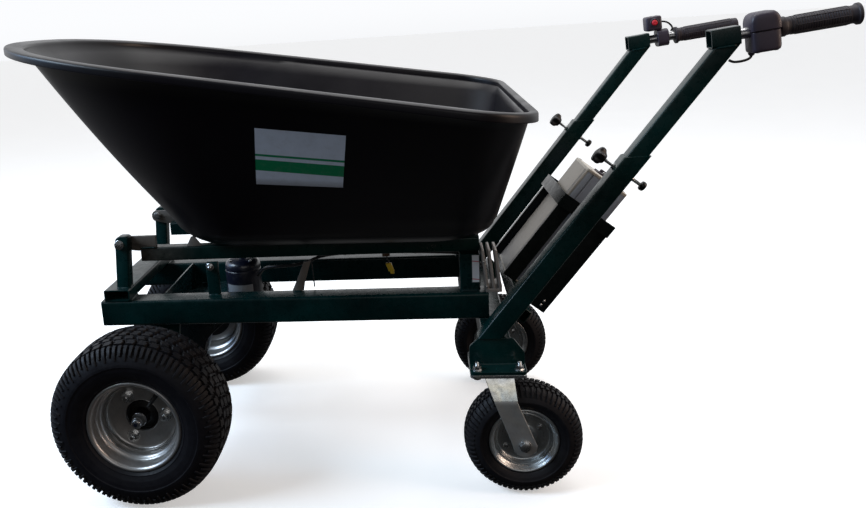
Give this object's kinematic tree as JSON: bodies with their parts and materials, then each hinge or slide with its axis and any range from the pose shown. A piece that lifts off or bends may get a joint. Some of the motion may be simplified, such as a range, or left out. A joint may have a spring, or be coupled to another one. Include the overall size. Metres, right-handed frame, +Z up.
{
  "type": "power wheelbarrow",
  "caption": "Walk-behind battery power wheelbarrow: tipping poly tub on a green tube chassis, turf drive wheels in front, swivel casters behind, telescopic handles with twist throttle.",
  "frame": {"origin": "middle of the footprint box on the ground", "axes": "+X towards the operator's handles, +Y towards the operator's right, +Z up"},
  "size_m": [1.7854, 0.984, 1.0611],
  "materials": {
    "green": "gloss dark green powder coat",
    "poly": "satin moulded",
    "tyre": "matte",
    "grip": "ribbed matte",
    "rim": "silver",
    "zinc": "bright zinc plated",
    "steel": "bare, worn",
    "black_steel": "satin black",
    "aluminium": "anodised",
    "plastic": "moulded",
    "red": "gloss",
    "motor": "gloss"
  },
  "bodies": {
    "chassis": {"rail_left": "green", "rail_right": "green", "cross_front": "green", "cross_mid": "green", "rear_beam": "green", "pivot_post_left": "green", "pivot_post_right": "green", "rear_upright_left": "green", "rear_upright_right": "green", "motor_bracket": "green", "stay_bar": "green", "motor_can": "motor", "gearcase": "black_steel", "axle_hanger_left": "green", "axle_hanger_right": "green", "controller": "aluminium", "loom": "plastic", "caster_mount_left": "green", "caster_mount_right": "green", "caster_plate_left": "zinc", "caster_plate_right": "zinc", "sleeve_left": "green", "sleeve_right": "green", "cradle_tray": "black_steel", "cradle_frame": "black_steel", "cradle_crossbar": "green"},
    "tub": {"tub_shell": "poly", "subframe_rail_left": "green", "subframe_rail_right": "green", "subframe_cross": "green", "pivot_arm_left": "steel", "pivot_arm_right": "steel"},
    "drive_wheels": {"axle": "steel", "hub_left": "steel", "hub_right": "steel", "rim_left": "rim", "rim_right": "rim", "tyre_left": "tyre", "tyre_right": "tyre"},
    "caster_left": {"caster_fork_left": "zinc"},
    "caster_right": {"caster_fork_right": "zinc"},
    "caster_wheel_left": {"caster_rim_left": "rim", "caster_tyre_left": "tyre"},
    "caster_wheel_right": {"caster_rim_right": "rim", "caster_tyre_right": "tyre"},
    "handle_left": {"handle_tube_left": "green", "handle_bar_left": "steel", "throttle_housing": "plastic", "throttle_cable": "plastic"},
    "handle_right": {"handle_tube_right": "green", "handle_bar_right": "steel", "hand_grip": "grip", "switch_pod": "plastic"},
    "throttle": {"throttle_grip": "grip"},
    "button": {"red_button": "red"},
    "knob_left": {"clamp_knob_left": "plastic"},
    "knob_right": {"clamp_knob_right": "plastic"},
    "screw_left": {"clamp_screw_left": "black_steel"},
    "screw_right": {"clamp_screw_right": "black_steel"},
    "battery": {"battery_case": "aluminium"}
  },
  "joints": [
    {"name": "tub_tip", "type": "hinge", "parent": "chassis", "child": "tub", "pos_m": [-0.67074, 0, 0.571], "axis": [0, -1, 0], "range_deg": [0, 75]},
    {"name": "axle_spin", "type": "hinge", "parent": "chassis", "child": "drive_wheels", "pos_m": [-0.60474, 0, 0.203], "axis": [0, 1, 0], "continuous": true},
    {"name": "caster_swivel_left", "type": "hinge", "parent": "chassis", "child": "caster_left", "pos_m": [0.20726, -0.289, 0.29], "axis": [0, 0, 1], "continuous": true},
    {"name": "caster_roll_left", "type": "hinge", "parent": "caster_left", "child": "caster_wheel_left", "pos_m": [0.26226, -0.289, 0.13], "axis": [0, 1, 0], "continuous": true},
    {"name": "handle_slide_left", "type": "slide", "parent": "chassis", "child": "handle_left", "axis": [0.6115, 0, 0.7912], "range_m": [-0.15, 0.2]},
    {"name": "clamp_knob_turn_left", "type": "hinge", "parent": "chassis", "child": "knob_left", "pos_m": [0.43339, -0.289, 0.74551], "axis": [-0.7912, 0, 0.6115], "continuous": true},
    {"name": "clamp_screw_turn_left", "type": "hinge", "parent": "chassis", "child": "screw_left", "pos_m": [0.49669, -0.289, 0.69659], "axis": [-0.7912, 0, 0.6115], "continuous": true},
    {"name": "caster_swivel_right", "type": "hinge", "parent": "chassis", "child": "caster_right", "pos_m": [0.20726, 0.289, 0.29], "axis": [0, 0, 1], "continuous": true},
    {"name": "caster_roll_right", "type": "hinge", "parent": "caster_right", "child": "caster_wheel_right", "pos_m": [0.26226, 0.289, 0.13], "axis": [0, 1, 0], "continuous": true},
    {"name": "handle_slide_right", "type": "slide", "parent": "chassis", "child": "handle_right", "axis": [0.6115, 0, 0.7912], "range_m": [-0.115, 0.235]},
    {"name": "clamp_knob_turn_right", "type": "hinge", "parent": "chassis", "child": "knob_right", "pos_m": [0.43339, 0.289, 0.74551], "axis": [-0.7912, 0, 0.6115], "continuous": true},
    {"name": "clamp_screw_turn_right", "type": "hinge", "parent": "chassis", "child": "screw_right", "pos_m": [0.49669, 0.289, 0.69659], "axis": [-0.7912, 0, 0.6115], "continuous": true},
    {"name": "throttle_twist", "type": "hinge", "parent": "handle_left", "child": "throttle", "pos_m": [0.75926, -0.289, 0.992], "axis": [0.9932, 0, 0.1162], "range_deg": [0, 60], "stiffness_Nm_per_rad": 0.5, "springref_deg": -17.19},
    {"name": "button_press", "type": "slide", "parent": "handle_right", "child": "button", "axis": [0, 1, 0], "range_m": [0, 0.0025], "stiffness_N_per_m": 500, "springref_m": -0.003},
    {"name": "battery_slide", "type": "slide", "parent": "chassis", "child": "battery", "axis": [0.6115, 0, 0.7912], "range_m": [0, 0.34]}
  ]
}
